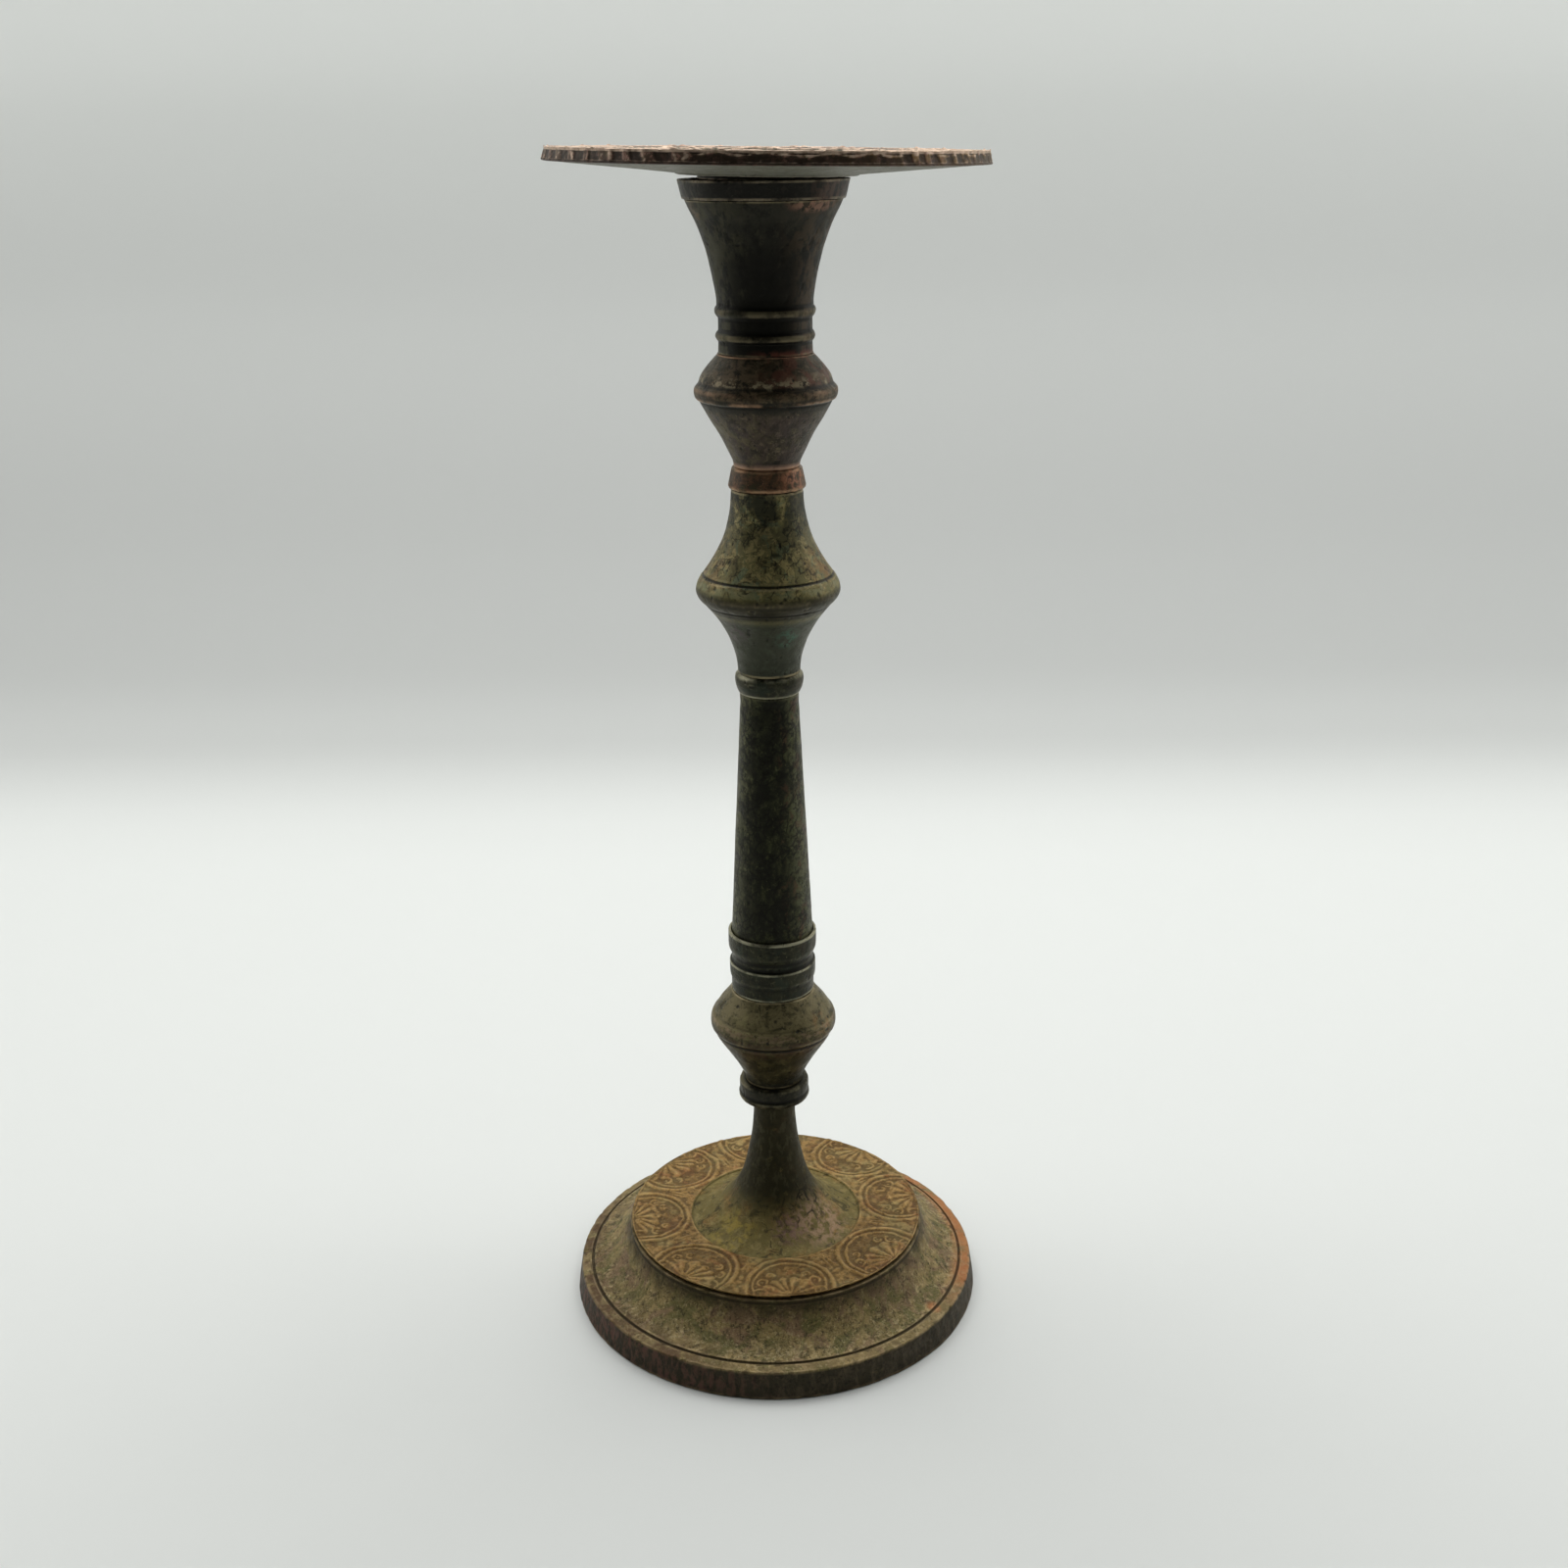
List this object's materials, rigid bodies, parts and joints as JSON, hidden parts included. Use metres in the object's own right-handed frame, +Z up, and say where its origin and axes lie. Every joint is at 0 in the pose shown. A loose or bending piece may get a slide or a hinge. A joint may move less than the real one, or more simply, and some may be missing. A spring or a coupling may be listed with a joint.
{
  "type": "altar candlestick",
  "caption": "Tall turned altar candlestick of patinated bronze: stepped foot, medallion disc, knopped stem, and a wide loose drip pan with a lift-out candle socket.",
  "frame": {"origin": "centre of the foot on the surface it stands on", "axes": "+Z up along the stem, -Y towards the front, +X to the viewer's right; the loose pan sits lower on the +X side"},
  "size_m": [0.1478, 0.1478, 0.4002],
  "materials": {
    "foot_bronze": "mottled olive and mauve patina",
    "relief_bronze": "ochre patina, worn ridges",
    "dark_bronze": "dark green-black patina",
    "olive_bronze": "olive verdigris patina",
    "teal_bronze": "dark blue-green patina, worn edges",
    "shaft_bronze": "very dark olive patina",
    "copper_bronze": "worn coppery patina",
    "brown_bronze": "grey-brown patina with copper showing",
    "cup_bronze": "dark grey-green patina",
    "black_bronze": "near-black patina, slightly glossy",
    "pan_bronze": "pale grey-green and brown patina",
    "socket_brass": "tarnished brass",
    "rod_steel": "dull steel",
    "nut_steel": "dull steel with light rust",
    "plate_iron": "dark iron"
  },
  "bodies": {
    "stand": {"foot": "foot_bronze", "medallion_disc": "relief_bronze", "lower_collar": "dark_bronze", "lower_knop": "olive_bronze", "shaft_ferrule": "teal_bronze", "shaft": "shaft_bronze", "neck_ring": "teal_bronze", "bell_knop": "olive_bronze", "upper_collar": "copper_bronze", "upper_knop": "brown_bronze", "candle_cup": "cup_bronze", "cup_band": "black_bronze", "tie_rod": "rod_steel", "top_nut": "nut_steel", "top_washer": "rod_steel", "clamp_plate": "plate_iron", "lock_washer": "rod_steel", "base_nut": "nut_steel"},
    "pan": {"drip_pan": "pan_bronze"},
    "socket": {"candle_socket": "socket_brass"}
  },
  "joints": [
    {"name": "pan_lift", "type": "slide", "parent": "stand", "child": "pan", "axis": [0, 0, 1], "range_m": [0, 0.06]},
    {"name": "socket_lift", "type": "slide", "parent": "pan", "child": "socket", "axis": [0, 0, 1], "range_m": [0, 0.06]}
  ]
}
